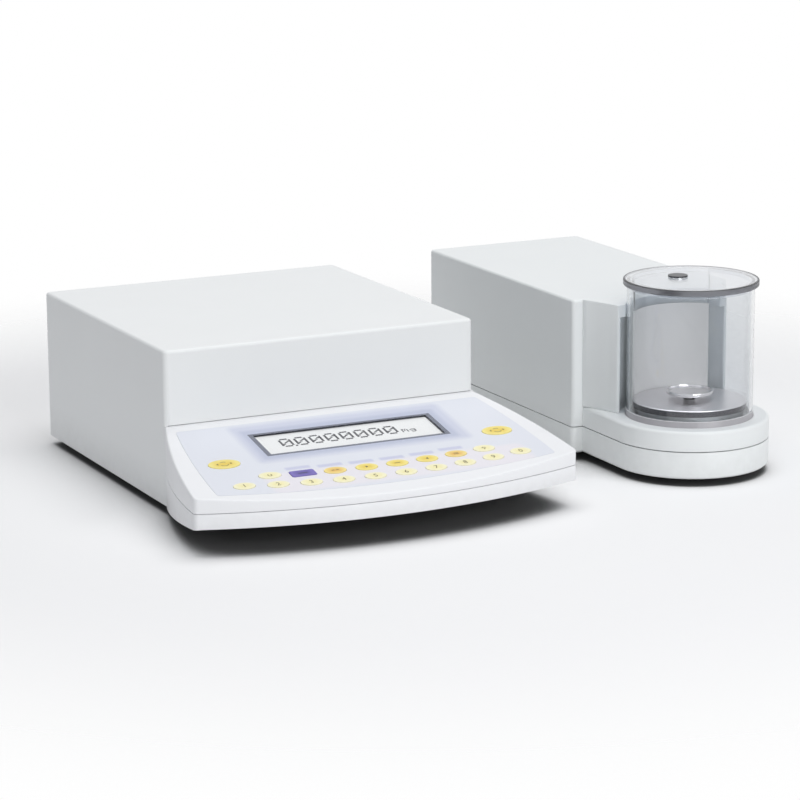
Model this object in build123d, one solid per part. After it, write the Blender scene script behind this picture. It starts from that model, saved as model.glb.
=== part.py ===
from build123d import *
import math
import os

# Mass comparator: a control unit with a sloping keyboard, and a separate weighing
# cell with a round glass draught shield. Millimetres, +Z up. The origin is on the
# table, under the middle of the pair.

# Control unit: its box
unit_width = 252.0
unit_depth = 250.0
unit_top = 123.0
underside = 6.0
cover_wall = 2.5
cover_gap = 1.0
cover_edge = 2.5
cover_corner = 4.0
joint_gap = 0.3

# Control unit: the keyboard wedge in front of the box
panel_slope = 11.5
panel_back_height = 67.0
corner_half_width = 152.0
corner_reach = 116.0
front_reach = 144.0
side_swell = 4.0
plan_corner = 4.0
seam_height = 32.0
seam_gap = 0.5
chin_height = 21.0
chin_start = 118.0
shell_wall = 2.5
panel_edge = 1.2
lip_height = 3.0
lip_thickness = 1.2
lip_gap = 0.2

# Keyboard overlay, display and keys, measured along the slope from the box
overlay_thickness = 0.6
overlay_proud = 0.1
overlay_back = 11.0
overlay_back_half = 122.0
overlay_mid_half = 130.5
overlay_front_half = 134.0
overlay_corner_reach = 118.0
overlay_front_reach = 131.5
overlay_fit = 0.15
window_width = 147.0
window_height = 37.8
window_centre = 48.3
window_thickness = 1.4
view_width = 140.0
view_height = 33.5
module_margin = 6.5
module_depth = 7.0
key_proud = 0.5
key_gap = 0.3
key_travel = 0.6
key_flange = 0.9
key_flange_thickness = 1.0
key_stem_radius = 1.6
key_stem = 2.7
key_pitch = 24.4
row_bow = 0.0008
digit_row = 118.7
function_row = 103.5
digit_key = (16.5, 10.0)
function_key = (17.0, 10.0)
shield_key = (24.0, 14.0)
mode_key = (19.0, 9.0)
shield_key_x = 109.5
shield_key_reach = 71.7
board_thickness = 1.6
board_post = 2.2
dome_radius = 3.0
dome_height = 1.2
board_back = 80.0
board_wing_back = 60.0
board_wing_x = 92.0
board_half = 121.0
board_reach = 123.0

# Control unit: inside and rear
pan_floor = 3.0
flange_height = 14.0
panel_plate = 2.0
rear_inset = 1.5
main_board_width = 190.0
main_board_depth = 130.0
standoff_height = 8.0
standoff_radius = 4.0
rubber_foot_radius = 8.0
unit_foot_x = 104.0
unit_foot_front = 26.0
unit_foot_rear = 228.0
peg_radius = 2.6
peg_gap = 0.1
screw_head_radius = 3.0
screw_head_height = 1.2
screw_shank_radius = 1.5
screw_length = 6.0

# Gap between the box and the weighing cell
unit_gap = 89.5

# Weighing cell
cell_width = 141.0
cell_depth = 245.0
cell_top = 127.5
cell_setback = 5.0
cell_seam = 26.5
cell_seam_gap = 0.7
cell_wall = 3.0
cell_edge = 2.0
base_floor = 3.0
base_wall = 4.0
axis_reach = 58.0
nose_radius = 61.2
tier_top = 42.8
tier_plate = 3.5
tier_wall = 3.0
tier_edge = 2.5
low_edge = 1.5

# Draught shield
glass_outer = 48.7
glass_thickness = 2.4
glass_top = 143.8
glass_half_angle = 132.0
shield_gap = 0.3
carrier_top = 47.4
carrier_lip = 0.2
carrier_wall = 3.1
running_gap = 0.1
neck_top = 49.7
neck_inset = 1.9
floor_top = 54.7
floor_radius = 43.5
back_panel_thickness = 1.6
back_panel_top = 121.0
back_panel_half_angle = 50.0
pane_gap = 0.4
pocket_radius = 53.5
collar_height = 118.0
collar_gap = 0.7
pillar_front = 25.0
pillar_front_half = 49.5
pillar_root_half = 62.0
pillar_waist = 55.0
lid_radius = 51.8
lid_thickness = 4.7
lid_rib_height = 2.5
lid_rib_width = 2.0
plug_x = -6.3
plug_y = 9.2
plug_hole = 6.3
plug_flange_radius = 7.6
plug_flange = 1.2

# Draught shield drive
gear_module = 1.5
ring_teeth = 68
pinion_teeth = 14
pressure_angle = 20.0
backlash = 0.25
gear_low = 31.0
gear_face = 5.0
pinion_bearing = -30.0
motor_radius = 10.0
motor_shaft = 1.5
shaft_gap = 0.05

# Weighing mechanism
pan_radius = 18.0
pan_low = 59.0
pan_thickness = 1.8
pan_rim = 1.2
pan_stem_radius = 3.0
pan_socket_radius = 2.0
pin_gap = 0.05
stem_bore = 5.0
column_radius = 16.0
arm_low = 13.0
arm_high = 20.0
arm_half = 6.0
receptor_y = 96.0
receptor_depth = 8.0
receptor_half = 15.0
receptor_top = 88.0
frame_y = 150.0
frame_depth = 20.0
frame_half = 26.0
frame_top = 96.0
guide_thickness = 3.0
guide_half = 13.0
lower_guide_z = 26.0
upper_guide_z = 78.0
lever_z = 50.0
lever_height = 6.0
lever_half = 4.0
lever_nose = 62.0
lever_tail = 66.0
pivot_radius = 2.0
coil_radius = 13.0
coil_wall = 1.5
coil_low = 43.0
coil_height = 10.0
magnet_radius = 20.0
magnet_gap = 1.0
magnet_core = 8.0
magnet_top = 46.0

# Feet of the weighing cell
foot_radius = 11.0
foot_disc = 4.0
foot_screw = 4.0
foot_screw_top = 20.0
rear_foot_x = 52.0
rear_foot_y = 272.0
front_foot_y = -24.0

# Where the two units stand
total_width = corner_half_width + unit_width / 2 + unit_gap + cell_width
total_depth = front_reach + unit_depth
unit_place = Pos(corner_half_width - total_width / 2, front_reach - total_depth / 2, 0)
cell_place = Pos(
    total_width / 2 - cell_width / 2,
    front_reach - total_depth / 2 + cell_setback - axis_reach,
    0,
)
cell_rear = axis_reach + cell_depth

slope = math.radians(panel_slope)
panel_plane = Plane(
    origin=(0, 0, panel_back_height),
    x_dir=(1, 0, 0),
    z_dir=(0, -math.sin(slope), math.cos(slope)),
)

glass_inner = glass_outer - glass_thickness
carrier_outer = glass_outer + carrier_lip
carrier_inner = carrier_outer - carrier_wall
hub_radius = carrier_inner - running_gap
ring_pitch_radius = gear_module * ring_teeth / 2
pinion_pitch_radius = gear_module * pinion_teeth / 2
gear_distance = ring_pitch_radius + pinion_pitch_radius


def save(name, shape, place):
    """Write one piece, set where its unit stands."""
    export_step(place * shape, "parts/" + name + ".step")


def slab(low, high, sketch):
    """A vertical prism of a plan shape between two heights."""
    return extrude(Pos(0, 0, low) * sketch, high - low)


def side_slab(points, half_width):
    """A shape drawn in side view, as (y, z) corners, and extruded across."""
    outline = make_face(Plane.YZ * Polyline(points, close=True))
    return extrude(outline, half_width, both=True)


def block(x, y, z):
    """A box from three (low, high) pairs."""
    size = Box(x[1] - x[0], y[1] - y[0], z[1] - z[0])
    return Pos((x[0] + x[1]) / 2, (y[0] + y[1]) / 2, (z[0] + z[1]) / 2) * size


def rod(radius, low, high, x=0.0, y=0.0):
    """An upright round bar between two heights."""
    return Pos(x, y, (low + high) / 2) * Cylinder(radius, high - low)


def on_panel(shape_sketch, low, high):
    """A prism on the sloping keyboard, between two heights above its surface."""
    return extrude(panel_plane.offset(low) * shape_sketch, high - low)


def wedge_plan(back):
    """Plan of the keyboard wedge: flared sides and a bowed front edge."""
    half = unit_width / 2
    swell_x = (half + corner_half_width) / 2 + side_swell
    sides = []
    for side in (-1, 1):
        start = (side * half, 0)
        middle = (side * swell_x, -corner_reach / 2)
        corner = (side * corner_half_width, -corner_reach)
        sides.append(ThreePointArc(start, middle, corner))
    front = ThreePointArc(
        (-corner_half_width, -corner_reach), (0, -front_reach), (corner_half_width, -corner_reach)
    )
    rear = Polyline((-half, 0), (-half, back), (half, back), (half, 0))
    face = make_face(sides + [front, rear])
    corners = face.vertices().sort_by(Axis.Y)[:2]
    return fillet(corners, plan_corner)


def panel_height(y):
    """Height of the keyboard surface at a plan position."""
    return panel_back_height + math.tan(slope) * y


def panel_drop(depth):
    """How far a surface parallel to the keyboard lies below it, measured upright."""
    return depth / math.cos(slope)


def make_top_cover():
    half = unit_width / 2
    low = underside + cover_gap
    upper = block((-half, half), (0, unit_depth), (panel_back_height + joint_gap, unit_top))
    upper = fillet(upper.edges().filter_by(Axis.Z), cover_corner)
    lower = block((-half, half), (0, unit_depth), (low, panel_back_height + joint_gap))
    rear_edges = lower.edges().filter_by(Axis.Z).sort_by(Axis.Y)[-2:]
    lower = fillet(rear_edges, cover_corner)
    shell = upper + lower
    shell = fillet(shell.faces().sort_by(Axis.Z)[-1].edges(), cover_edge)
    inner = half - cover_wall
    shell -= block((-inner, inner), (cover_wall, unit_depth + 1), (low - 1, unit_top - cover_wall))
    shell -= block((-inner, inner), (-1, cover_wall + 1), (low - 1, panel_back_height + joint_gap))
    return shell


def make_base_pan():
    plan = wedge_plan(cover_wall)
    front = -front_reach - 10
    outside = side_slab(
        [
            (-joint_gap, underside),
            (-chin_start, chin_height),
            (front, chin_height),
            (front, seam_height),
            (-joint_gap, seam_height),
        ],
        corner_half_width + 10,
    )
    tray = slab(0, seam_height, plan) & outside
    hollow_plan = offset(wedge_plan(cover_wall + 20), -shell_wall, kind=Kind.INTERSECTION)
    hollow = side_slab(
        [
            (20, underside + pan_floor),
            (0, underside + pan_floor),
            (-chin_start, chin_height + shell_wall),
            (front, chin_height + shell_wall),
            (front, seam_height + 1),
            (20, seam_height + 1),
        ],
        corner_half_width + 10,
    )
    tray -= slab(0, seam_height + 2, hollow_plan) & hollow
    half = unit_width / 2 - cover_wall - joint_gap
    rear = unit_depth - rear_inset - panel_plate - joint_gap
    plate = block((-half, half), (-joint_gap - 1, rear), (underside, underside + pan_floor))
    pan = tray + plate
    for side in (-1, 1):
        edge = sorted((side * half, side * (half - 1.5)))
        pan += block(edge, (cover_wall + 2, rear), (underside, underside + flange_height))
    for x, y in board_posts():
        pan += rod(standoff_radius, underside, underside + pan_floor + standoff_height, x, y)
    return pan


def board_posts():
    """Where the main board stands on the pan."""
    middle = unit_depth / 2 + 10
    half_x = main_board_width / 2 - 6
    half_y = main_board_depth / 2 - 6
    return [(x, middle + y) for x in (-half_x, half_x) for y in (-half_y, half_y)]


def unit_feet_places():
    """Where the control unit's rubber feet are glued on."""
    return [(x, y) for x in (-unit_foot_x, unit_foot_x) for y in (unit_foot_front, unit_foot_rear)]


def overlay_plan(grow):
    """The overlay's outline on the keyboard, grown by a fit."""
    back = -overlay_back + grow
    corner = -overlay_corner_reach - grow
    mid_y = -(overlay_back + overlay_corner_reach) / 2
    front_half = overlay_front_half + grow
    sides = []
    for side in (-1, 1):
        start = (side * (overlay_back_half + grow), back)
        middle = (side * (overlay_mid_half + grow), mid_y)
        sides.append(ThreePointArc(start, middle, (side * front_half, corner)))
    bow = (0, -overlay_front_reach - grow)
    front = ThreePointArc((-front_half, corner), bow, (front_half, corner))
    rear = Line((-overlay_back_half - grow, back), (overlay_back_half + grow, back))
    face = make_face(sides + [front, rear])
    return fillet(face.vertices(), 3.0 + grow)


def key_list():
    """Every key: its name, size, place on the slope, and whether it is oval."""
    keys = [
        ("shield_key_left", shield_key, -shield_key_x, -shield_key_reach, True),
        ("shield_key_right", shield_key, shield_key_x, -shield_key_reach, True),
    ]
    for i in range(8):
        x = (i - 3.5) * key_pitch
        y = -function_row + row_bow * x * x
        if i == 1:
            keys.append(("mode_key", mode_key, x, y, False))
        else:
            keys.append(("function_key_" + str(i + 1), function_key, x, y, True))
    for i in range(10):
        x = (i - 4.5) * key_pitch
        y = -digit_row + row_bow * x * x
        keys.append(("digit_key_" + str((i + 1) % 10), digit_key, x, y, True))
    return keys


def key_plan(size, x, y, oval, grow):
    """Outline of one key, or of its hole when grown."""
    width, height = size[0] + 2 * grow, size[1] + 2 * grow
    if oval:
        return Pos(x, y) * Ellipse(width / 2, height / 2)
    return Pos(x, y) * RectangleRounded(width, height, 1.5 + grow)


def make_key(size, x, y, oval):
    """A key cap with the flange that keeps it in and the stem that presses its dome."""
    flange_top = -shell_wall - joint_gap
    flange_low = flange_top - key_flange_thickness
    cap = on_panel(key_plan(size, x, y, oval, 0), flange_top, key_proud)
    cap += on_panel(key_plan(size, x, y, oval, key_flange), flange_low, flange_top)
    cap += on_panel(Pos(x, y) * Circle(key_stem_radius), flange_low - key_stem, flange_low)
    return cap


def window_plan(width, height):
    return Pos(0, -window_centre) * Rectangle(width, height)


def make_keyboard_housing():
    front = -front_reach - 10
    low = seam_height + seam_gap
    outside = side_slab(
        [
            (-joint_gap, low),
            (front, low),
            (front, panel_height(front)),
            (-joint_gap, panel_height(-joint_gap)),
        ],
        corner_half_width + 10,
    )
    shell = slab(0, unit_top, wedge_plan(cover_wall)) & outside
    top_face = shell.faces().sort_by(Axis.Z)[-1]
    rim = [e for e in top_face.edges() if e.center().Y < -joint_gap - 1]
    shell = fillet(rim, panel_edge)
    hollow_plan = offset(wedge_plan(cover_wall + 20), -shell_wall, kind=Kind.INTERSECTION)
    drop = panel_drop(shell_wall)
    hollow = side_slab(
        [
            (20, low - 1),
            (front, low - 1),
            (front, panel_height(front) - drop),
            (20, panel_height(20) - drop),
        ],
        corner_half_width + 10,
    )
    shell -= slab(0, unit_top, hollow_plan) & hollow
    tongue_half = unit_width / 2 - cover_wall - joint_gap
    shell += block(
        (-tongue_half, tongue_half),
        (-shell_wall, cover_wall - joint_gap),
        (panel_back_height - shell_wall, panel_back_height - joint_gap),
    )
    plan = wedge_plan(cover_wall + 20)
    lip_inset = shell_wall + lip_gap
    lip_inner = offset(plan, -lip_inset - lip_thickness, kind=Kind.INTERSECTION)
    lip = slab(low - lip_height, low + lip_height, offset(plan, -lip_inset, kind=Kind.INTERSECTION))
    lip += slab(low, low + lip_height, offset(plan, -shell_wall / 2, kind=Kind.INTERSECTION))
    lip -= slab(0, unit_top, lip_inner)
    lip -= block((-200, 200), (-10, 50), (0, unit_top))
    shell += lip
    shell -= on_panel(overlay_plan(overlay_fit), overlay_proud - overlay_thickness, 5)
    recess = window_plan(window_width + 2 * overlay_fit, window_height + 2 * overlay_fit)
    shell -= on_panel(recess, overlay_proud - window_thickness, 5)
    opening = window_plan(view_width + 0.6, view_height + 0.6)
    shell -= on_panel(opening, -shell_wall - 1, 5)
    for name, size, x, y, oval in key_list():
        shell -= on_panel(key_plan(size, x, y, oval, key_gap), -shell_wall - 1, 5)
    for x, y in key_board_posts():
        shell += on_panel(Pos(x, y) * Circle(board_post), board_level(), -shell_wall / 2)
    return shell


def board_level():
    """Upper face of the key board, below the keyboard surface."""
    stem_low = -shell_wall - joint_gap - key_flange_thickness - key_stem
    return stem_low - key_travel - joint_gap - dome_height


def key_board_posts():
    """Where the key board is screwed up against the housing."""
    between = key_pitch
    row = -(digit_row + function_row) / 2
    places = [(x * between, row + row_bow * (x * between) ** 2) for x in (-3, 0, 3)]
    wing = (board_half + board_wing_x) / 2
    return places + [(-wing - 8, -board_back - 8), (wing + 8, -board_back - 8)]


def make_key_board():
    low = board_level() - board_thickness
    deep = (board_back + board_reach) / 2
    plan = Pos(0, -deep) * Rectangle(2 * board_half, board_reach - board_back)
    for side in (-1, 1):
        middle = side * (board_half + board_wing_x) / 2
        wing = Rectangle(board_half - board_wing_x, board_reach - board_wing_back)
        plan += Pos(middle, -(board_wing_back + board_reach) / 2) * wing
    board = on_panel(plan, low, board_level())
    for name, size, x, y, oval in key_list():
        dome = Pos(x, y) * Circle(dome_radius)
        board += on_panel(dome, board_level(), board_level() + dome_height)
    return board


def make_overlay():
    sheet = on_panel(overlay_plan(0), overlay_proud - overlay_thickness, overlay_proud)
    hole = window_plan(window_width + 2 * overlay_fit, window_height + 2 * overlay_fit)
    sheet -= on_panel(hole, -5, 5)
    for name, size, x, y, oval in key_list():
        sheet -= on_panel(key_plan(size, x, y, oval, key_gap), -5, 5)
    return sheet


def make_window():
    plate = window_plan(window_width, window_height)
    return on_panel(plate, overlay_proud - window_thickness, overlay_proud)


def make_display_module():
    frame = window_plan(view_width + 2 * module_margin, view_height + 2 * module_margin)
    module = on_panel(frame, -shell_wall - module_depth, -shell_wall)
    glass_high = overlay_proud - window_thickness - 0.1
    module += on_panel(window_plan(view_width, view_height), -shell_wall, glass_high)
    return module


def make_main_board():
    low = underside + pan_floor + standoff_height
    middle = unit_depth / 2 + 10
    half_x, half_y = main_board_width / 2, main_board_depth / 2
    board = block((-half_x, half_x), (middle - half_y, middle + half_y), (low, low + board_thickness))
    top = low + board_thickness
    board += block((-60, -20), (middle - 30, middle + 10), (top, top + 6))
    board += block((20, 62), (middle - 40, middle - 12), (top, top + 4))
    for i in range(4):
        board += rod(6.0, top, top + 22, -70 + 18 * i, middle + 40)
    return board


def port_holes():
    """Rear connectors of the control unit: name, x, z and opening size."""
    return {"power_inlet": (-88.0, 36.0), "data_port": (-28.0, 36.0), "cell_link_port": (48.0, 36.0)}


port_round = 8.5
port_wide = (40.0, 12.0)
port_short = (26.0, 12.0)
port_flange = 1.0
port_depth = 12.0


def port_plan(kind, grow):
    """Front outline of a connector: a round one, or a trapezoid shell."""
    if kind == "power_inlet":
        return Circle(port_round + grow)
    width, height = port_wide if kind == "data_port" else port_short
    face = Trapezoid(width + 2 * grow, height + 2 * grow, 80)
    return fillet(face.vertices(), 2.0)


def rear_plane(y, x, z):
    """A plane on a rear panel, its normal pointing out of the back."""
    return Plane(origin=(x, y, z), x_dir=(-1, 0, 0), z_dir=(0, 1, 0))


def make_port(kind, x, z, face_y):
    """A panel connector with flange plates outside and its body behind the panel."""
    inner = face_y - panel_plate
    body = extrude(rear_plane(inner - port_depth, x, z) * port_plan(kind, 0), port_depth + panel_plate)
    if kind == "power_inlet":
        flange = Circle(port_round + 2.5)
    else:
        width = (port_wide if kind == "data_port" else port_short)[0] + 14
        flange = RectangleRounded(width, 14.5, 1.5)
    flange = extrude(rear_plane(face_y, x, z) * flange, port_flange)
    port = body + flange
    pins = pin_places(kind)
    for px, pz in pins:
        hole = extrude(rear_plane(face_y + port_flange - 4, x, z) * (Pos(px, pz) * Circle(0.7)), 5)
        port -= hole
    return port


def pin_places(kind):
    """Contact holes in a connector's face."""
    if kind == "power_inlet":
        ring = [math.radians(45 * i - 90) for i in range(5)]
        return [(5.0 * math.sin(a), 5.0 * math.cos(a)) for a in ring]
    count = 7 if kind == "data_port" else 5
    pitch = 4.6 if kind == "data_port" else 4.2
    upper = [((i - (count - 1) / 2) * pitch, -1.8) for i in range(count)]
    lower = [((i - (count - 2) / 2) * pitch, 1.8) for i in range(count - 1)]
    return upper + lower


def make_rear_panel():
    half = unit_width / 2 - cover_wall - joint_gap
    face_y = unit_depth - rear_inset
    low = underside + joint_gap
    high = unit_top - cover_wall - joint_gap
    panel = block((-half, half), (face_y - panel_plate, face_y), (low, high))
    for kind, (x, z) in port_holes().items():
        panel -= extrude(rear_plane(face_y - panel_plate - 1, x, z) * port_plan(kind, 0.2), panel_plate + 2)
    for x, z in rear_screw_places():
        panel -= Pos(x, face_y, z) * Rot(90, 0, 0) * Cylinder(screw_shank_radius + 0.1, 3 * panel_plate)
    return panel


def rear_screw_places():
    """Screws of the control unit's rear panel."""
    x = unit_width / 2 - cover_wall - 8
    return [(side * x, z) for side in (-1, 1) for z in (underside + 8, unit_top - 12)]


def cell_screw_places():
    """Screws of the weighing cell's rear panel."""
    x = cell_width / 2 - cell_wall - 7
    return [(side * x, z) for side in (-1, 1) for z in (cell_seam + 10, cell_top - 12)]


def make_screw(x, y, z):
    head = Cylinder(screw_head_radius, screw_head_height)
    head = Pos(x, y + screw_head_height / 2, z) * Rot(90, 0, 0) * head
    shank = Cylinder(screw_shank_radius, screw_length)
    return head + Pos(x, y - screw_length / 2, z) * Rot(90, 0, 0) * shank


def make_screws():
    unit_face = unit_depth - rear_inset
    cell_face = cell_rear - rear_inset
    screws = [unit_place * make_screw(x, unit_face, z) for x, z in rear_screw_places()]
    screws += [cell_place * make_screw(x, cell_face, z) for x, z in cell_screw_places()]
    return Compound(children=screws)


ALIGN_UP = (Align.CENTER, Align.CENTER, Align.MIN)


def make_rubber_feet():
    """Four pads under the control unit, and one with a peg under the nose of the cell."""
    pad = Cone(rubber_foot_radius - 1, rubber_foot_radius, underside, align=ALIGN_UP)
    feet = [unit_place * Pos(x, y, 0) * pad for x, y in unit_feet_places()]
    peg = rod(peg_radius - peg_gap, underside, underside + 1.8)
    feet.append(cell_place * Pos(0, front_foot_y, 0) * (pad + peg))
    return Compound(children=feet)


def nose_plan(radius, back):
    """Plan of the rounded nose, from the chamber's axis back to a given depth."""
    face = Circle(radius) + Pos(0, back / 2) * Rectangle(2 * radius, back)
    return face - Pos(0, back + radius) * Rectangle(4 * radius, 2 * radius)


def cell_plan(inset):
    half = cell_width / 2 - inset
    depth = cell_depth - 2 * inset
    box_plan = Pos(0, axis_reach + cell_depth / 2) * RectangleRounded(2 * half, depth, 4.0)
    return box_plan + nose_plan(nose_radius - inset, axis_reach + 10)


def make_cell_base():
    base = slab(underside, cell_seam, cell_plan(0))
    base = chamfer(base.faces().sort_by(Axis.Z)[0].outer_wire().edges(), low_edge)
    base -= slab(underside + base_floor, cell_seam + 1, cell_plan(base_wall))
    floor = underside + base_floor
    for x in (-rear_foot_x, rear_foot_x):
        base += rod(foot_screw + 4, floor, cell_seam - 4, x, rear_foot_y)
        base -= rod(foot_screw + 0.1, underside - 1, cell_seam - 3, x, rear_foot_y)
    base -= rod(peg_radius, underside - 1, underside + 2, 0, front_foot_y)
    for x in (-cell_width / 2 + 12, cell_width / 2 - 12):
        for y in (axis_reach + 14, cell_rear - 46):
            base += rod(4.0, floor, cell_seam, x, y)
    return base


def make_cell_cover():
    half = cell_width / 2
    low = cell_seam + cell_seam_gap
    shell = block((-half, half), (axis_reach, cell_rear), (low, cell_top))
    shell = fillet(shell.edges().filter_by(Axis.Z), 3.0)
    shell = fillet(shell.faces().sort_by(Axis.Z)[-1].edges(), cell_edge)
    inner = half - cell_wall
    hollow = block((-inner, inner), (axis_reach + cell_wall, cell_rear + 1), (low - 1, cell_top - cell_wall))
    shell -= hollow
    passage = pocket_radius - 3
    shell -= block((-passage, passage), (axis_reach - 1, axis_reach + cell_wall + 1), (low - 1, tier_top - 4))
    return shell


def pillar_plan():
    """Plan of the casting behind the glass, from the housing front to the slots."""
    sides = []
    middle_y = (axis_reach + pillar_front) / 2
    for side in (-1, 1):
        root = (side * pillar_root_half, axis_reach - 0.1)
        waist = (side * pillar_waist, middle_y)
        nose = (side * pillar_front_half, pillar_front)
        sides.append(ThreePointArc(root, waist, nose))
    rear = Line((-pillar_root_half, axis_reach - 0.1), (pillar_root_half, axis_reach - 0.1))
    front = Line((-pillar_front_half, pillar_front), (pillar_front_half, pillar_front))
    return make_face(sides + [rear, front])


def make_shield_housing():
    low = tier_top + 0.1
    casting = slab(low, cell_top, pillar_plan())
    casting -= rod(pocket_radius, low - 1, collar_height)
    casting -= rod(carrier_outer + collar_gap, collar_height - 1, cell_top + 1)
    return casting


def make_tier():
    low = cell_seam + cell_seam_gap
    back = axis_reach - 0.1
    tier = slab(low, tier_top, nose_plan(nose_radius, back))
    top = tier.faces().sort_by(Axis.Z)[-1]
    rim = [e for e in top.edges() if e.center().Y < back - 1]
    tier = fillet(rim, tier_edge)
    inside = nose_plan(nose_radius - tier_wall, back + 10)
    tier -= slab(low - 1, tier_top - tier_plate, inside)
    tier -= rod(carrier_outer + shield_gap, low - 1, tier_top + 1)
    return tier


def make_hub():
    """The fixed hub that carries the chamber floor and guides the turning ring."""
    floor = underside + base_floor
    low = gear_low - 1
    hub = rod(hub_radius, low, tier_top + 1.2) + rod(floor_radius - neck_inset, tier_top, neck_top)
    hub += rod(column_radius, floor, low + 1)
    hub -= rod(stem_bore, floor - 1, neck_top + 1)
    hub -= rod(column_radius - 5, floor - 1, arm_high + 6)
    slot = arm_half + 1.5
    hub -= block((-slot, slot), (0, column_radius + 1), (floor - 1, arm_high + 2))
    return hub


def make_floor_plate():
    plate = rod(floor_radius, neck_top, floor_top) - rod(stem_bore, neck_top - 1, floor_top + 1)
    return fillet(plate.faces().sort_by(Axis.Z)[-1].outer_wire().edges(), 0.8)


def ring_sector(inner, outer, low, high, half_angle, facing):
    """A curved wall around the axis; facing is the compass bearing of its middle."""
    start = facing - half_angle
    section = Pos((inner + outer) / 2, 0, (low + high) / 2) * Rot(90, 0, 0)
    profile = section * Rectangle(outer - inner, high - low)
    wall = revolve(profile, Axis.Z, 2 * half_angle)
    return Rot(0, 0, start) * wall


def make_back_panel():
    inner = floor_radius + 0.2
    low = tier_top + 1.2
    high = back_panel_top
    return ring_sector(inner, inner + back_panel_thickness, low, high, back_panel_half_angle, 90)


def make_rear_pane():
    """The fixed clear pane on the back panel, up to the rib of the lid."""
    inner = floor_radius + 0.2
    high = glass_top + shield_gap - lid_rib_height - pane_gap
    return ring_sector(inner, inner + back_panel_thickness, back_panel_top, high, back_panel_half_angle, 90)


def involute_point(base_radius, radius, start_angle, side):
    """A point of an involute flank at a given radius."""
    roll = math.sqrt(max((radius / base_radius) ** 2 - 1, 0.0))
    angle = start_angle + side * (roll - math.atan(roll))
    return (radius * math.cos(angle), radius * math.sin(angle))


def gear_plan(teeth, steps):
    """A spur gear's outline, its first tooth centred on +X."""
    pitch = gear_module * teeth / 2
    base = pitch * math.cos(math.radians(pressure_angle))
    tip = pitch + gear_module * 0.95
    root = pitch - gear_module * 1.2
    roll = math.sqrt((pitch / base) ** 2 - 1)
    half_tooth = math.pi / 2 / teeth - backlash / 2 / pitch + roll - math.atan(roll)
    low = max(base, root)
    points = []
    for i in range(teeth):
        middle = 2 * math.pi * i / teeth
        flank = [low + (tip - low) * k / steps for k in range(steps + 1)]
        foot = middle - half_tooth
        points.append((root * math.cos(foot), root * math.sin(foot)))
        points += [involute_point(base, r, foot, 1) for r in flank]
        foot = middle + half_tooth
        points += [involute_point(base, r, foot, -1) for r in reversed(flank)]
        points.append((root * math.cos(foot), root * math.sin(foot)))
    kept = [points[0]]
    for point in points[1:]:
        if math.dist(point, kept[-1]) > 0.02:
            kept.append(point)
    return make_face(Polyline(kept, close=True))


def make_carrier():
    """The turning ring under the glass, with the gear that the pinion drives."""
    ring = rod(carrier_outer, gear_low + gear_face, carrier_top)
    gear = slab(gear_low, gear_low + gear_face, gear_plan(ring_teeth, 2))
    ring += gear
    ring -= rod(carrier_inner, gear_low - 1, carrier_top + 1)
    return ring


def pinion_centre():
    bearing = math.radians(90 - pinion_bearing)
    return gear_distance * math.cos(bearing), gear_distance * math.sin(bearing)


def make_pinion():
    x, y = pinion_centre()
    bearing = math.degrees(math.atan2(y, x))
    ring_phase = bearing / 360 * ring_teeth
    turn = bearing + 180 + (0.5 + ring_phase) * 360 / pinion_teeth
    plan = Rot(0, 0, turn) * gear_plan(pinion_teeth, 3)
    pinion = slab(gear_low - 0.5, gear_low + gear_face + 0.5, plan)
    pinion -= rod(motor_shaft + shaft_gap, gear_low - 2, gear_low + gear_face + 2)
    return Pos(x, y, 0) * pinion


def make_motor():
    x, y = pinion_centre()
    floor = underside + base_floor
    body = rod(motor_radius, floor, gear_low - 2)
    body = chamfer(body.edges(), 0.8)
    body += rod(3.0, gear_low - 2, gear_low - 0.8)
    body += rod(motor_shaft, gear_low - 2, gear_low + gear_face + 1.5)
    return Pos(x, y, 0) * body


def make_glass():
    wall = ring_sector(glass_inner, glass_outer, carrier_top, glass_top, glass_half_angle, -90)
    return wall


def make_lid():
    low = glass_top + shield_gap
    lid = rod(lid_radius, low, low + lid_thickness)
    lid = fillet(lid.edges(), 0.8)
    rib_outer = glass_inner - shield_gap
    rib = rod(rib_outer, low - lid_rib_height, low + 1)
    rib -= rod(rib_outer - lid_rib_width, low - lid_rib_height - 1, low)
    lid += rib
    lid -= rod(plug_hole, low - lid_rib_height - 1, low + lid_thickness + 1, plug_x, plug_y)
    return lid


def make_plug():
    lid_low = glass_top + shield_gap
    lid_top = lid_low + lid_thickness
    plug = rod(plug_hole - shield_gap, lid_low, lid_top + shield_gap, plug_x, plug_y)
    flange = rod(plug_flange_radius, lid_top + shield_gap, lid_top + shield_gap + plug_flange, plug_x, plug_y)
    flange = fillet(flange.faces().sort_by(Axis.Z)[-1].edges(), 0.4)
    return plug + flange


def make_pan():
    dish = rod(pan_radius, pan_low, pan_low + pan_thickness + pan_rim)
    dish = fillet(dish.faces().sort_by(Axis.Z)[0].edges(), 1.0)
    dish -= rod(pan_radius - 1.5, pan_low + pan_thickness, pan_low + 5)
    dish += Pos(0, 0, pan_low - 5) * Cone(pan_stem_radius, 7, 5, align=ALIGN_UP)
    dish += rod(pan_stem_radius, arm_high + 4, pan_low)
    dish -= rod(pan_socket_radius, arm_high + 3, arm_high + 14)
    return dish


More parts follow.
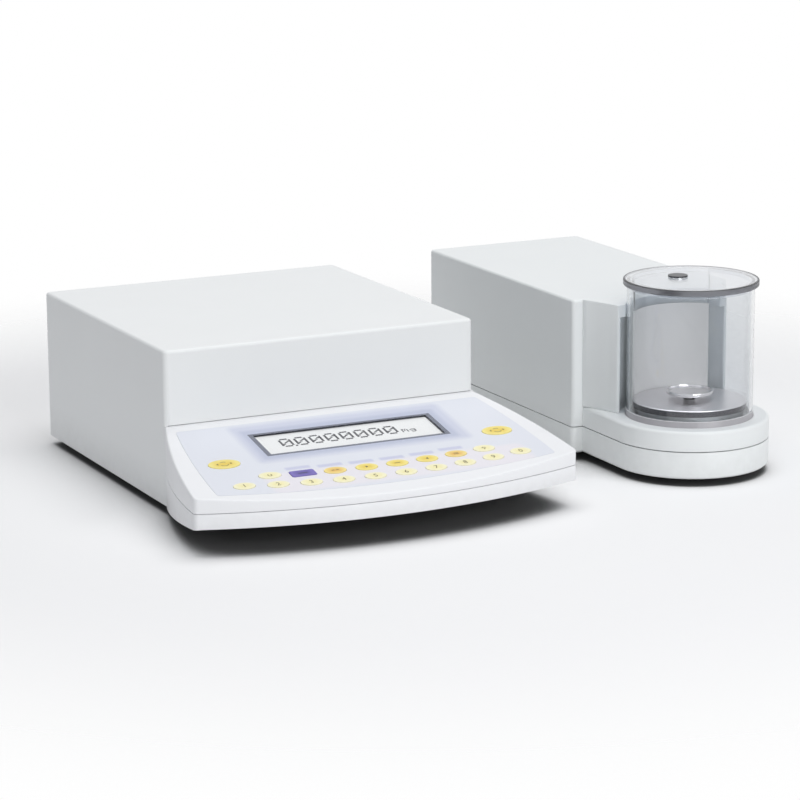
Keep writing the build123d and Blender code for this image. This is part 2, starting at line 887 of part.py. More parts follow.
def make_receptor():
    """The load receptor: the arm under the pan, and the upright it hangs on."""
    arm = block((-arm_half, arm_half), (-arm_half, receptor_y + 1), (arm_low, arm_high))
    arm = fillet(arm.edges().filter_by(Axis.Z).sort_by(Axis.Y)[:2], 4.0)
    arm += rod(pan_socket_radius - pin_gap, arm_high, arm_high + 12)
    arm += rod(4.5, arm_high, arm_high + 3.7)
    y = receptor_y
    upright = block((-receptor_half, receptor_half), (y, y + receptor_depth), (arm_low, receptor_top))
    window_top = lever_z + lever_height + joint_gap
    window = block((-lever_half - 3, lever_half + 3), (y - 1, y + 20), (lever_z - 3, window_top))
    return arm + upright - window


def guide_span():
    """A guide reaches from the upright to the frame, with a gap at each end."""
    return receptor_y + receptor_depth + joint_gap, frame_y - joint_gap


def make_guide(z):
    near, far = guide_span()
    plate = block((-guide_half, guide_half), (near, far), (z, z + guide_thickness))
    inner = block((-guide_half + 5, guide_half - 5), (near + 8, far - 8), (z - 1, z + guide_thickness + 1))
    plate -= inner
    for y in (near + 4, far - 4):
        groove = Pos(0, y, z + guide_thickness) * Rot(0, 90, 0) * Cylinder(1.0, 3 * guide_half)
        plate -= groove
    return plate


def make_frame():
    """The fixed frame: two pillars and a bridge, with the lever's pivot between them."""
    floor = underside + base_floor
    y = (frame_y, frame_y + frame_depth)
    frame = block((-frame_half, frame_half), y, (floor, frame_top))
    half = lever_half + 6
    frame -= block((-half, half), (y[0] - 1, y[1] + 1), (lever_z - 12, lever_z + 18))
    frame += block((-frame_half, frame_half), (y[0] - 6, y[1] + 6), (floor, floor + 8))
    lever_mid = lever_z + lever_height / 2
    pivot_y = frame_y + frame_depth / 2
    frame += Pos(0, pivot_y, lever_mid) * Rot(0, 90, 0) * Cylinder(pivot_radius, 2 * half + 2)
    return frame


def make_lever():
    pivot_y = frame_y + frame_depth / 2
    lever_mid = lever_z + lever_height / 2
    near, far = pivot_y - lever_nose, pivot_y + lever_tail
    beam = block((-lever_half, lever_half), (near, far), (lever_z, lever_z + lever_height))
    beam += Pos(0, pivot_y, lever_mid) * Rot(0, 90, 0) * Cylinder(5.5, 2 * lever_half)
    beam -= Pos(0, pivot_y, lever_mid) * Rot(0, 90, 0) * Cylinder(pivot_radius + shaft_gap, 40)
    return beam


def coil_y():
    return frame_y + frame_depth / 2 + lever_tail - 4


def make_coil():
    high = lever_z
    coil = rod(coil_radius, coil_low - coil_height, high, 0, coil_y())
    coil -= rod(coil_radius - coil_wall, coil_low - coil_height - 1, high - 2, 0, coil_y())
    return coil


def make_magnet():
    """The magnet cup under the coil, with its core and the ring gap for the coil."""
    y = coil_y()
    floor = underside + base_floor
    cup = rod(magnet_radius, floor, magnet_top, 0, y)
    cup -= rod(coil_radius + magnet_gap, coil_low - coil_height - 4, magnet_top + 1, 0, y)
    cup += rod(coil_radius - coil_wall - magnet_gap, coil_low - coil_height - 5, magnet_top - 1, 0, y)
    return cup


def make_cell_rear_panel():
    half = cell_width / 2 - cell_wall - joint_gap
    face_y = cell_rear - rear_inset
    low = cell_seam + joint_gap
    high = cell_top - cell_wall - joint_gap
    panel = block((-half, half), (face_y - panel_plate, face_y), (low, high))
    x, z = cell_port_place
    panel -= extrude(rear_plane(face_y - panel_plate - 1, x, z) * port_plan("cell_link_port", 0.2), panel_plate + 2)
    for sx, sz in cell_screw_places():
        panel -= Pos(sx, face_y, sz) * Rot(90, 0, 0) * Cylinder(screw_shank_radius + 0.1, 3 * panel_plate)
    return panel


cell_port_place = (0.0, 56.0)


def make_levelling_foot(x):
    foot = rod(foot_radius, 0, foot_disc, x, rear_foot_y)
    foot = fillet(foot.edges(), 0.8)
    foot += rod(foot_screw, foot_disc - 1, foot_screw_top, x, rear_foot_y)
    return foot


os.makedirs("parts", exist_ok=True)

save("unit_base_pan", make_base_pan(), unit_place)
save("unit_top_cover", make_top_cover(), unit_place)
save("keyboard_housing", make_keyboard_housing(), unit_place)
save("keyboard_overlay", make_overlay(), unit_place)
save("display_window", make_window(), unit_place)
save("display_module", make_display_module(), unit_place)
save("key_board", make_key_board(), unit_place)
save("main_board", make_main_board(), unit_place)
save("unit_rear_panel", make_rear_panel(), unit_place)
for port, (port_x, port_z) in port_holes().items():
    save(port, make_port(port, port_x, port_z, unit_depth - rear_inset), unit_place)
save("rubber_feet", make_rubber_feet(), Pos(0, 0, 0))
save("rear_screws", make_screws(), Pos(0, 0, 0))
for key_name, key_size, key_x, key_y, is_oval in key_list():
    save(key_name, make_key(key_size, key_x, key_y, is_oval), unit_place)

save("cell_base", make_cell_base(), cell_place)
save("cell_cover", make_cell_cover(), cell_place)
save("shield_housing", make_shield_housing(), cell_place)
save("chamber_tier", make_tier(), cell_place)
save("chamber_hub", make_hub(), cell_place)
save("chamber_floor", make_floor_plate(), cell_place)
save("chamber_back_panel", make_back_panel(), cell_place)
save("chamber_rear_pane", make_rear_pane(), cell_place)
save("shield_glass", make_glass(), cell_place)
save("shield_carrier", make_carrier(), cell_place)
save("drive_pinion", make_pinion(), cell_place)
save("drive_motor", make_motor(), cell_place)
save("shield_lid", make_lid(), cell_place)
save("lid_plug", make_plug(), cell_place)
save("weighing_pan", make_pan(), cell_place)
save("load_receptor", make_receptor(), cell_place)
save("lower_guide", make_guide(lower_guide_z), cell_place)
save("upper_guide", make_guide(upper_guide_z), cell_place)
save("balance_frame", make_frame(), cell_place)
save("transmission_lever", make_lever(), cell_place)
save("force_coil", make_coil(), cell_place)
save("magnet_pot", make_magnet(), cell_place)
save("cell_rear_panel", make_cell_rear_panel(), cell_place)
save("cell_port", make_port("cell_link_port", *cell_port_place, cell_rear - rear_inset), cell_place)
save("levelling_foot_left", make_levelling_foot(-rear_foot_x), cell_place)
save("levelling_foot_right", make_levelling_foot(rear_foot_x), cell_place)
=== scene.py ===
import math

import bmesh
import bpy
from mathutils import Matrix, Vector


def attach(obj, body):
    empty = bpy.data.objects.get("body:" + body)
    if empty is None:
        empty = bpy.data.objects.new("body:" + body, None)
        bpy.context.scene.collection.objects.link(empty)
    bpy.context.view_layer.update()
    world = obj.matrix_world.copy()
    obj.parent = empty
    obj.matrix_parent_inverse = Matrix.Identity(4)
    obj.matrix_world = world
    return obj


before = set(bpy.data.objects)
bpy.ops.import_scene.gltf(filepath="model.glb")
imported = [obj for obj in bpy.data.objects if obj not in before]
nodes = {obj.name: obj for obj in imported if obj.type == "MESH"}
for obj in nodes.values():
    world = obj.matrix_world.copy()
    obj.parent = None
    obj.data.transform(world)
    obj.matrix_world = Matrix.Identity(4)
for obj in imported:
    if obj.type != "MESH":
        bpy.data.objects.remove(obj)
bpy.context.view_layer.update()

MM = 0.001

# The sloping keyboard: its surface starts at the box's front wall, in the unit's middle
PANEL_SLOPE = math.radians(11.5)
PANEL_START = Vector((-102.25, -53.0, 67.0)) * MM
PANEL_X = Vector((1, 0, 0))
PANEL_Y = Vector((0, math.cos(PANEL_SLOPE), math.sin(PANEL_SLOPE)))
PANEL_Z = Vector((0, -math.sin(PANEL_SLOPE), math.cos(PANEL_SLOPE)))
KEY_TOP = 0.5
DISPLAY_TOP = -1.4
PRINT_THICKNESS = 0.04
DISPLAY_CENTRE = -48.3
KEY_PITCH = 24.4
ROW_BOW = 0.0008
DIGIT_ROW = 118.7
FUNCTION_ROW = 103.5

# The draught shield stands round this axis
SHIELD_AXIS = Vector((183.75, -106.0, 0.0)) * MM


def linear(r, g, b):
    """A colour given as it looks on a screen, 0 to 255, as the linear one a shader takes."""
    out = []
    for value in (r, g, b):
        v = value / 255
        out.append(v / 12.92 if v <= 0.04045 else ((v + 0.055) / 1.055) ** 2.4)
    return (*out, 1.0)


# Node helpers


def new_material(name):
    made = bpy.data.materials.new(name)
    made.use_nodes = True
    made.node_tree.nodes.clear()
    return made


def node(tree, kind, **values):
    """A node with its properties and unlinked sockets set by name."""
    made = tree.nodes.new(kind)
    for key, value in values.items():
        if hasattr(made, key) and not key.startswith("in_"):
            setattr(made, key, value)
        else:
            made.inputs[key[3:].replace("_", " ")].default_value = value
    return made


def math_node(tree, operation, a, b=None, clamp=False):
    """A Math node whose inputs are sockets or numbers."""
    made = tree.nodes.new("ShaderNodeMath")
    made.operation = operation
    made.use_clamp = clamp
    for i, value in enumerate((a, b)):
        if value is None:
            continue
        if isinstance(value, bpy.types.NodeSocket):
            tree.links.new(value, made.inputs[i])
        else:
            made.inputs[i].default_value = value
    return made.outputs[0]


def mix_colour(tree, factor, a, b, blend="MIX"):
    """A colour mix whose inputs are sockets or values."""
    made = tree.nodes.new("ShaderNodeMix")
    made.data_type = "RGBA"
    made.blend_type = blend
    for index, value in ((0, factor), (6, a), (7, b)):
        if isinstance(value, bpy.types.NodeSocket):
            tree.links.new(value, made.inputs[index])
        else:
            made.inputs[index].default_value = value
    return made.outputs[2]


def group(name, inputs, outputs):
    """An empty shader node group with float, colour and vector sockets."""
    tree = bpy.data.node_groups.new(name, "ShaderNodeTree")
    kinds = {"F": "NodeSocketFloat", "C": "NodeSocketColor", "V": "NodeSocketVector"}
    for label, kind, value in inputs:
        socket = tree.interface.new_socket(label, in_out="INPUT", socket_type=kinds[kind])
        if value is not None:
            socket.default_value = value
    for label, kind in outputs:
        tree.interface.new_socket(label, in_out="OUTPUT", socket_type=kinds[kind])
    return tree, tree.nodes.new("NodeGroupInput"), tree.nodes.new("NodeGroupOutput")


def object_point(tree):
    return tree.nodes.new("ShaderNodeTexCoord").outputs["Object"]


def fine_surface_group():
    """Fine texture of paint or moulded plastic: an uneven gloss and a faint grain."""
    inputs = [
        ("Scale", "F", 900.0),
        ("Grain", "F", 0.1),
        ("Roughness", "F", 0.4),
        ("Spread", "F", 0.08),
    ]
    tree, given, out = group("fine_surface", inputs, [("Roughness", "F"), ("Normal", "V")])
    point = object_point(tree)
    grain = node(tree, "ShaderNodeTexNoise", in_Detail=3.0, in_Roughness=0.55)
    tree.links.new(point, grain.inputs["Vector"])
    tree.links.new(given.outputs["Scale"], grain.inputs["Scale"])
    cloud = node(tree, "ShaderNodeTexNoise", in_Scale=38.0, in_Detail=4.0)
    tree.links.new(point, cloud.inputs["Vector"])
    swing = math_node(tree, "SUBTRACT", cloud.outputs["Fac"], 0.5)
    swing = math_node(tree, "MULTIPLY", swing, given.outputs["Spread"])
    rough = math_node(tree, "ADD", swing, given.outputs["Roughness"], clamp=True)
    bump = node(tree, "ShaderNodeBump", in_Distance=0.0002)
    tree.links.new(grain.outputs["Fac"], bump.inputs["Height"])
    tree.links.new(given.outputs["Grain"], bump.inputs["Strength"])
    tree.links.new(rough, out.inputs["Roughness"])
    tree.links.new(bump.outputs["Normal"], out.inputs["Normal"])
    return tree


def handled_and_shaded_colour_group():
    """A colour with slight cloudy unevenness, a little greyer low down where it would get
    dusty; where that greying is turned up, it is painted shade.
    """
    inputs = [
        ("Color", "C", (0.8, 0.8, 0.8, 1.0)),
        ("Unevenness", "F", 0.05),
        ("Dust", "F", 0.05),
    ]
    tree, given, out = group("handled_and_shaded_colour", inputs, [("Color", "C")])
    point = object_point(tree)
    cloud = node(tree, "ShaderNodeTexNoise", in_Scale=14.0, in_Detail=5.0, in_Roughness=0.6)
    tree.links.new(point, cloud.inputs["Vector"])
    swing = math_node(tree, "SUBTRACT", cloud.outputs["Fac"], 0.5)
    swing = math_node(tree, "MULTIPLY", swing, given.outputs["Unevenness"])
    gain = math_node(tree, "ADD", swing, 1.0)
    grey = tree.nodes.new("ShaderNodeCombineColor")
    for channel in ("Red", "Green", "Blue"):
        tree.links.new(gain, grey.inputs[channel])
    toned = mix_colour(tree, 1.0, given.outputs["Color"], grey.outputs["Color"], "MULTIPLY")
    # Speckled greying that grows towards the bottom: dusty soiling on most surfaces, and
    # painted shade where it is turned up.
    height = tree.nodes.new("ShaderNodeSeparateXYZ")
    tree.links.new(point, height.inputs["Vector"])
    low = node(tree, "ShaderNodeMapRange")
    low.inputs["From Min"].default_value = 0.0
    low.inputs["From Max"].default_value = 0.035
    low.inputs["To Min"].default_value = 1.0
    low.inputs["To Max"].default_value = 0.0
    tree.links.new(height.outputs["Z"], low.inputs["Value"])
    speck = node(tree, "ShaderNodeTexNoise", in_Scale=160.0, in_Detail=6.0)
    tree.links.new(point, speck.inputs["Vector"])
    dust_and_shade_weight = math_node(tree, "MULTIPLY", low.outputs["Result"], speck.outputs["Fac"])
    dust_and_shade_weight = math_node(tree, "MULTIPLY", dust_and_shade_weight, given.outputs["Dust"], clamp=True)
    result = mix_colour(tree, dust_and_shade_weight, toned, linear(168, 166, 162))
    tree.links.new(result, out.inputs["Color"])
    return tree


def brushed_group():
    """Fine parallel grinding lines that stretch along X."""
    inputs = [("Roughness", "F", 0.25), ("Lines", "F", 0.15)]
    tree, given, out = group("brushed_lines", inputs, [("Roughness", "F"), ("Normal", "V")])
    stretch = tree.nodes.new("ShaderNodeMapping")
    stretch.inputs["Scale"].default_value = (60.0, 2600.0, 2600.0)
    tree.links.new(object_point(tree), stretch.inputs["Vector"])
    lines = node(tree, "ShaderNodeTexNoise", in_Scale=1.0, in_Detail=3.0)
    tree.links.new(stretch.outputs["Vector"], lines.inputs["Vector"])
    swing = math_node(tree, "SUBTRACT", lines.outputs["Fac"], 0.5)
    swing = math_node(tree, "MULTIPLY", swing, 0.25)
    rough = math_node(tree, "ADD", swing, given.outputs["Roughness"], clamp=True)
    bump = node(tree, "ShaderNodeBump", in_Distance=0.0001)
    tree.links.new(lines.outputs["Fac"], bump.inputs["Height"])
    tree.links.new(given.outputs["Lines"], bump.inputs["Strength"])
    tree.links.new(rough, out.inputs["Roughness"])
    tree.links.new(bump.outputs["Normal"], out.inputs["Normal"])
    return tree


def panel_place_group():
    """Where a point lies on the sloping keyboard, in millimetres along X and up the slope."""
    tree, given, out = group("panel_place", [], [("Across", "F"), ("Up", "F")])
    parts = tree.nodes.new("ShaderNodeSeparateXYZ")
    tree.links.new(object_point(tree), parts.inputs["Vector"])
    across = math_node(tree, "SUBTRACT", parts.outputs["X"], PANEL_START.x)
    across = math_node(tree, "DIVIDE", across, MM)
    depth = math_node(tree, "SUBTRACT", parts.outputs["Y"], PANEL_START.y)
    depth = math_node(tree, "MULTIPLY", depth, math.cos(PANEL_SLOPE) / MM)
    rise = math_node(tree, "SUBTRACT", parts.outputs["Z"], PANEL_START.z)
    rise = math_node(tree, "MULTIPLY", rise, math.sin(PANEL_SLOPE) / MM)
    tree.links.new(across, out.inputs["Across"])
    tree.links.new(math_node(tree, "ADD", depth, rise), out.inputs["Up"])
    return tree


def printed_box_group():
    """Mask of a rounded rectangle printed on the panel, 1 inside, with a soft edge."""
    inputs = [
        ("Across", "F", 0.0),
        ("Up", "F", 0.0),
        ("Centre Across", "F", 0.0),
        ("Centre Up", "F", 0.0),
        ("Half Width", "F", 10.0),
        ("Half Height", "F", 5.0),
        ("Corner", "F", 1.0),
        ("Softness", "F", 0.3),
    ]
    tree, given, out = group("printed_box", inputs, [("Mask", "F")])
    over = []
    for axis, half in (("Across", "Half Width"), ("Up", "Half Height")):
        gap = math_node(tree, "SUBTRACT", given.outputs[axis], given.outputs["Centre " + axis])
        gap = math_node(tree, "ABSOLUTE", gap)
        inner = math_node(tree, "SUBTRACT", given.outputs[half], given.outputs["Corner"])
        over.append(math_node(tree, "MAXIMUM", math_node(tree, "SUBTRACT", gap, inner), 0.0))
    squares = [math_node(tree, "MULTIPLY", o, o) for o in over]
    reach = math_node(tree, "SQRT", math_node(tree, "ADD", squares[0], squares[1]))
    away = math_node(tree, "SUBTRACT", reach, given.outputs["Corner"])
    fade = math_node(tree, "DIVIDE", away, given.outputs["Softness"])
    mask = math_node(tree, "SUBTRACT", 0.5, fade, clamp=True)
    tree.links.new(mask, out.inputs["Mask"])
    return tree


def axis_distance_group():
    """Distance of a point from the draught shield's axis, in millimetres."""
    tree, given, out = group("axis_distance", [], [("Distance", "F"), ("Height", "F")])
    parts = tree.nodes.new("ShaderNodeSeparateXYZ")
    tree.links.new(object_point(tree), parts.inputs["Vector"])
    dx = math_node(tree, "SUBTRACT", parts.outputs["X"], SHIELD_AXIS.x)
    dy = math_node(tree, "SUBTRACT", parts.outputs["Y"], SHIELD_AXIS.y)
    squares = math_node(
        tree, "ADD", math_node(tree, "MULTIPLY", dx, dx), math_node(tree, "MULTIPLY", dy, dy)
    )
    away = math_node(tree, "DIVIDE", math_node(tree, "SQRT", squares), MM)
    tree.links.new(away, out.inputs["Distance"])
    tree.links.new(math_node(tree, "DIVIDE", parts.outputs["Z"], MM), out.inputs["Height"])
    return tree


FINE = fine_surface_group()
HANDLED_AND_SHADED = handled_and_shaded_colour_group()
BRUSHED = brushed_group()
PANEL_PLACE = panel_place_group()
PRINTED_BOX = printed_box_group()
AXIS_DISTANCE = axis_distance_group()


def place_group(tree, made_group, **values):
    """A group node with its unlinked inputs set; underscores stand for spaces."""
    made = tree.nodes.new("ShaderNodeGroup")
    made.node_tree = made_group
    for key, value in values.items():
        socket = made.inputs[key.replace("_", " ")]
        if isinstance(value, bpy.types.NodeSocket):
            tree.links.new(value, socket)
        else:
            socket.default_value = value
    return made


def shader(tree, **values):
    """A Principled shader on the material output, its plain values set on its own sockets."""
    made = tree.nodes.new("ShaderNodeBsdfPrincipled")
    for key, value in values.items():
        made.inputs[key.replace("_", " ")].default_value = value
    out = tree.nodes.new("ShaderNodeOutputMaterial")
    tree.links.new(made.outputs[0], out.inputs["Surface"])
    return made, out


def finish_surface(tree, bsdf, colour, scale, grain, roughness, spread, uneven, dust_and_shade):
    """Feeds a shader with the shared colour and surface groups."""
    toned = place_group(tree, HANDLED_AND_SHADED, Color=colour, Unevenness=uneven, Dust=dust_and_shade)
    fine = place_group(
        tree, FINE, Scale=scale, Grain=grain, Roughness=roughness, Spread=spread
    )
    tree.links.new(toned.outputs["Color"], bsdf.inputs["Base Color"])
    tree.links.new(fine.outputs["Roughness"], bsdf.inputs["Roughness"])
    tree.links.new(fine.outputs["Normal"], bsdf.inputs["Normal"])


def painted(name, colour, roughness=0.42, grain=0.12, scale=1400.0, dust_and_shade=0.3, uneven=0.03):
    """Fine structured paint on sheet metal or a casting."""
    made = new_material(name)
    bsdf, out = shader(made.node_tree, Specular_IOR_Level=0.4)
    finish_surface(
        made.node_tree, bsdf, colour, scale, grain, roughness, 0.1, uneven, dust_and_shade
    )
    return made


def plastic(name, colour, roughness=0.4, grain=0.08, scale=1000.0, uneven=0.05):
    made = new_material(name)
    bsdf, out = shader(made.node_tree, Specular_IOR_Level=0.5)
    finish_surface(made.node_tree, bsdf, colour, scale, grain, roughness, 0.12, uneven, 0.1)
    return made


def metal(name, colour, roughness=0.28, lines=0.12):
    made = new_material(name)
    tree = made.node_tree
    bsdf, out = shader(tree, Metallic=1.0)
    toned = place_group(tree, HANDLED_AND_SHADED, Color=colour, Unevenness=0.08, Dust=0.05)
    brush = place_group(tree, BRUSHED, Roughness=roughness, Lines=lines)
    tree.links.new(toned.outputs["Color"], bsdf.inputs["Base Color"])
    tree.links.new(brush.outputs["Roughness"], bsdf.inputs["Roughness"])
    tree.links.new(brush.outputs["Normal"], bsdf.inputs["Normal"])
    return made


def key_plastic(name, edge, middle, centre, half):
    """A printed key top: paler at its rim, and deeper in colour in its middle."""
    made = new_material(name)
    tree = made.node_tree
    bsdf, out = shader(tree, Specular_IOR_Level=0.45, Coat_Weight=0.15, Coat_Roughness=0.25)
    place = place_group(tree, PANEL_PLACE)
    glow = place_group(
        tree,
        PRINTED_BOX,
        Across=place.outputs["Across"],
        Up=place.outputs["Up"],
        Centre_Across=centre[0],
        Centre_Up=centre[1],
        Half_Width=half[0] * 0.55,
        Half_Height=half[1] * 0.5,
        Corner=half[1] * 0.45,
        Softness=half[1] * 1.1,
    )
    colour = mix_colour(tree, glow.outputs["Mask"], edge, middle)
    finish_surface(tree, bsdf, colour, 1200.0, 0.06, 0.36, 0.1, 0.04, 0.0)
    return made


def overlay_film():
    """The printed keyboard film: a deeper field round the display and pale key fields."""
    made = new_material("overlay_film")
    tree = made.node_tree
    bsdf, out = shader(tree, Specular_IOR_Level=0.45)
    place = place_group(tree, PANEL_PLACE)
    across, up = place.outputs["Across"], place.outputs["Up"]

    def box(centre, half, corner, softness):
        made_box = place_group(
            tree,
            PRINTED_BOX,
            Across=across,
            Up=up,
            Centre_Across=centre[0],
            Centre_Up=centre[1],
            Half_Width=half[0],
            Half_Height=half[1],
            Corner=corner,
            Softness=softness,
        )
        return made_box.outputs["Mask"]

    colour = linear(226, 229, 237)
    field = box((1.5, -46.0), (85.0, 31.0), 4.0, 6.0)
    colour = mix_colour(tree, field, colour, linear(206, 210, 226))
    near = box((0.5, -47.5), (78.0, 24.5), 2.0, 5.0)
    colour = mix_colour(tree, near, colour, linear(186, 192, 212))
    keys = box((12.0, -111.5), (104.0, 15.5), 6.0, 5.0)
    colour = mix_colour(tree, keys, colour, linear(234, 231, 237))
    for column in range(1, 7):
        x = (column - 3.5) * KEY_PITCH
        y = -FUNCTION_ROW + 9.6 + ROW_BOW * x * x
        label = box((x, y), (9.4, 2.1), 1.0, 2.4)
        colour = mix_colour(tree, label, colour, linear(200, 203, 226))
    finish_surface(tree, bsdf, colour, 2200.0, 0.1, 0.34, 0.08, 0.02, 0.0)
    return made


def pass_light(tree, body, out, tint):
    """Lets lamp light through clear glass or plastic, so that what it covers stays lit."""
    clear = tree.nodes.new("ShaderNodeBsdfTransparent")
    clear.inputs["Color"].default_value = tint
    path = tree.nodes.new("ShaderNodeLightPath")
    shadow, diffuse = path.outputs["Is Shadow Ray"], path.outputs["Is Diffuse Ray"]
    lit = math_node(tree, "MAXIMUM", shadow, diffuse)
    blend = tree.nodes.new("ShaderNodeMixShader")
    tree.links.new(lit, blend.inputs[0])
    tree.links.new(body.outputs[0], blend.inputs[1])
    tree.links.new(clear.outputs[0], blend.inputs[2])
    tree.links.new(blend.outputs[0], out.inputs["Surface"])


def clear_glass(name, colour, tint, roughness=0.015):
    """Clear glass with slightly cloudy colour and gloss."""
    made = new_material(name)
    tree = made.node_tree
    bsdf, out = shader(tree, Transmission_Weight=1.0, IOR=1.5)
    fine = place_group(tree, FINE, Scale=60.0, Grain=0.01, Roughness=roughness, Spread=0.03)
    toned = place_group(tree, HANDLED_AND_SHADED, Color=colour, Unevenness=0.03, Dust=0.0)
    tree.links.new(fine.outputs["Roughness"], bsdf.inputs["Roughness"])
    tree.links.new(toned.outputs["Color"], bsdf.inputs["Base Color"])
    pass_light(tree, bsdf, out, tint)
    return made


LID_CLEAR = linear(236, 238, 242)
LID_RIM = linear(120, 121, 128)
LID_RIM_START = 49.6
LID_RIM_END = 50.6


def lid_glass():
    """The lid: clear glass with a ground, darker rim."""
    made = new_material("lid_glass")
    tree = made.node_tree
    bsdf, out = shader(tree, Transmission_Weight=1.0, IOR=1.5)
    place = place_group(tree, AXIS_DISTANCE)
    rim = node(tree, "ShaderNodeMapRange")
    rim.inputs["From Min"].default_value = LID_RIM_START
    rim.inputs["From Max"].default_value = LID_RIM_END
    tree.links.new(place.outputs["Distance"], rim.inputs["Value"])
    colour = mix_colour(tree, rim.outputs["Result"], LID_CLEAR, LID_RIM)
    toned = place_group(tree, HANDLED_AND_SHADED, Color=colour, Unevenness=0.03, Dust=0.0)
    rough = node(tree, "ShaderNodeMapRange")
    rough.inputs["From Min"].default_value = LID_RIM_START
    rough.inputs["From Max"].default_value = LID_RIM_END
    rough.inputs["To Min"].default_value = 0.02
    rough.inputs["To Max"].default_value = 0.4
    tree.links.new(place.outputs["Distance"], rough.inputs["Value"])
    tree.links.new(toned.outputs["Color"], bsdf.inputs["Base Color"])
    tree.links.new(rough.outputs["Result"], bsdf.inputs["Roughness"])
    pass_light(tree, bsdf, out, LID_CLEAR)
    return made


def window_plastic():
    """The display window: a printed dark frame round the clear view."""
    made = new_material("window_plastic")
    tree = made.node_tree
    bsdf, out = shader(tree, Specular_IOR_Level=0.5)
    place = place_group(tree, PANEL_PLACE)
    view = place_group(
        tree,
        PRINTED_BOX,
        Across=place.outputs["Across"],
        Up=place.outputs["Up"],
        Centre_Across=0.0,
        Centre_Up=DISPLAY_CENTRE,
        Half_Width=70.0,
        Half_Height=16.6,
        Corner=0.6,
        Softness=0.25,
    )
    finish_surface(tree, bsdf, linear(112, 116, 130), 1500.0, 0.03, 0.22, 0.06, 0.05, 0.0)
    seen = math_node(tree, "MULTIPLY", view.outputs["Mask"], 0.98)
    tree.links.new(math_node(tree, "SUBTRACT", 1.0, seen), bsdf.inputs["Alpha"])
    return made


def display_surface():
    """The display module: a pale field in a dark metal frame."""
    made = new_material("display_surface")
    tree = made.node_tree
    bsdf, out = shader(tree, Specular_IOR_Level=0.3)
    place = place_group(tree, PANEL_PLACE)
    view = place_group(
        tree,
        PRINTED_BOX,
        Across=place.outputs["Across"],
        Up=place.outputs["Up"],
        Centre_Across=0.0,
        Centre_Up=DISPLAY_CENTRE,
        Half_Width=69.8,
        Half_Height=16.6,
        Corner=0.2,
        Softness=0.3,
    )
    colour = mix_colour(tree, view.outputs["Mask"], linear(70, 72, 78), linear(246, 247, 246))
    finish_surface(tree, bsdf, colour, 900.0, 0.02, 0.35, 0.05, 0.02, 0.0)
    return made


CARRIER_TOP_FACE = 47.2
FLOOR_PLINTH_TOP = 54.0


def carrier_plastic():
    """The turning ring: grey plastic, with a painted highlight on its upper face, which is
    coloured paler than its side.
    """
    made = new_material("carrier_plastic")
    tree = made.node_tree
    bsdf, out = shader(tree, Specular_IOR_Level=0.5)
    place = place_group(tree, AXIS_DISTANCE)
    # Painted highlight: above this height the ring is coloured paler, standing in for the top
    # light on its upper face.
    top = math_node(tree, "GREATER_THAN", place.outputs["Height"], CARRIER_TOP_FACE)
    colour = mix_colour(tree, top, linear(172, 170, 174), linear(240, 240, 240))
    finish_surface(tree, bsdf, colour, 1000.0, 0.06, 0.35, 0.1, 0.04, 0.0)
    return made


def turned_steel(name, roughness, darker_below):
    """Turned steel with faint rings round the shield's axis, darker below a height."""
    made = new_material(name)
    tree = made.node_tree
    bsdf, out = shader(tree, Metallic=1.0)
    place = place_group(tree, AXIS_DISTANCE)
    turned = math_node(tree, "MULTIPLY", place.outputs["Distance"], 9.0)
    rings = math_node(tree, "SINE", turned)
    cloud = node(tree, "ShaderNodeTexNoise", in_Scale=70.0, in_Detail=4.0)
    tree.links.new(object_point(tree), cloud.inputs["Vector"])
    rough = math_node(tree, "MULTIPLY", rings, 0.02)
    rough = math_node(tree, "ADD", rough, roughness)
    swing = math_node(tree, "MULTIPLY", cloud.outputs["Fac"], 0.12)
    rough = math_node(tree, "ADD", rough, swing, clamp=True)
    # Below this height the steel takes the darker colour.
    low = math_node(tree, "LESS_THAN", place.outputs["Height"], darker_below)
    colour = mix_colour(tree, low, linear(222, 220, 222), linear(78, 77, 82))
    toned = place_group(tree, HANDLED_AND_SHADED, Color=colour, Unevenness=0.06, Dust=0.0)
    bump = node(tree, "ShaderNodeBump", in_Strength=0.05, in_Distance=0.0001)
    tree.links.new(rings, bump.inputs["Height"])
    tree.links.new(bump.outputs["Normal"], bsdf.inputs["Normal"])
    tree.links.new(toned.outputs["Color"], bsdf.inputs["Base Color"])
    tree.links.new(rough, bsdf.inputs["Roughness"])
    return made


def circuit_board():
    """Green solder mask with paler tracks."""
    made = new_material("circuit_board")
    tree = made.node_tree
    bsdf, out = shader(tree, Specular_IOR_Level=0.5)
    tracks = node(tree, "ShaderNodeTexBrick", in_Scale=90.0)
    tracks.inputs["Color1"].default_value = linear(18, 92, 54)
    tracks.inputs["Color2"].default_value = linear(22, 104, 62)
    tracks.inputs["Mortar"].default_value = linear(60, 140, 84)
    tracks.inputs["Mortar Size"].default_value = 0.03
    tree.links.new(object_point(tree), tracks.inputs["Vector"])
    finish_surface(tree, bsdf, tracks.outputs["Color"], 900.0, 0.05, 0.3, 0.1, 0.1, 0.0)
    return made


def winding():
    """Copper wire of the coil, in close turns."""
    made = new_material("coil_winding")
    tree = made.node_tree
    bsdf, out = shader(tree, Metallic=0.7)
    place = place_group(tree, AXIS_DISTANCE)
    turns = math_node(tree, "SINE", math_node(tree, "MULTIPLY", place.outputs["Height"], 18.0))
    bump = node(tree, "ShaderNodeBump", in_Strength=0.6, in_Distance=0.0002)
    tree.links.new(turns, bump.inputs["Height"])
    toned = place_group(tree, HANDLED_AND_SHADED, Color=linear(188, 112, 66), Unevenness=0.15, Dust=0.0)
    fine = place_group(tree, FINE, Scale=900.0, Grain=0.05, Roughness=0.32, Spread=0.1)
    tree.links.new(toned.outputs["Color"], bsdf.inputs["Base Color"])
    tree.links.new(fine.outputs["Roughness"], bsdf.inputs["Roughness"])
    tree.links.new(bump.outputs["Normal"], bsdf.inputs["Normal"])
    return made


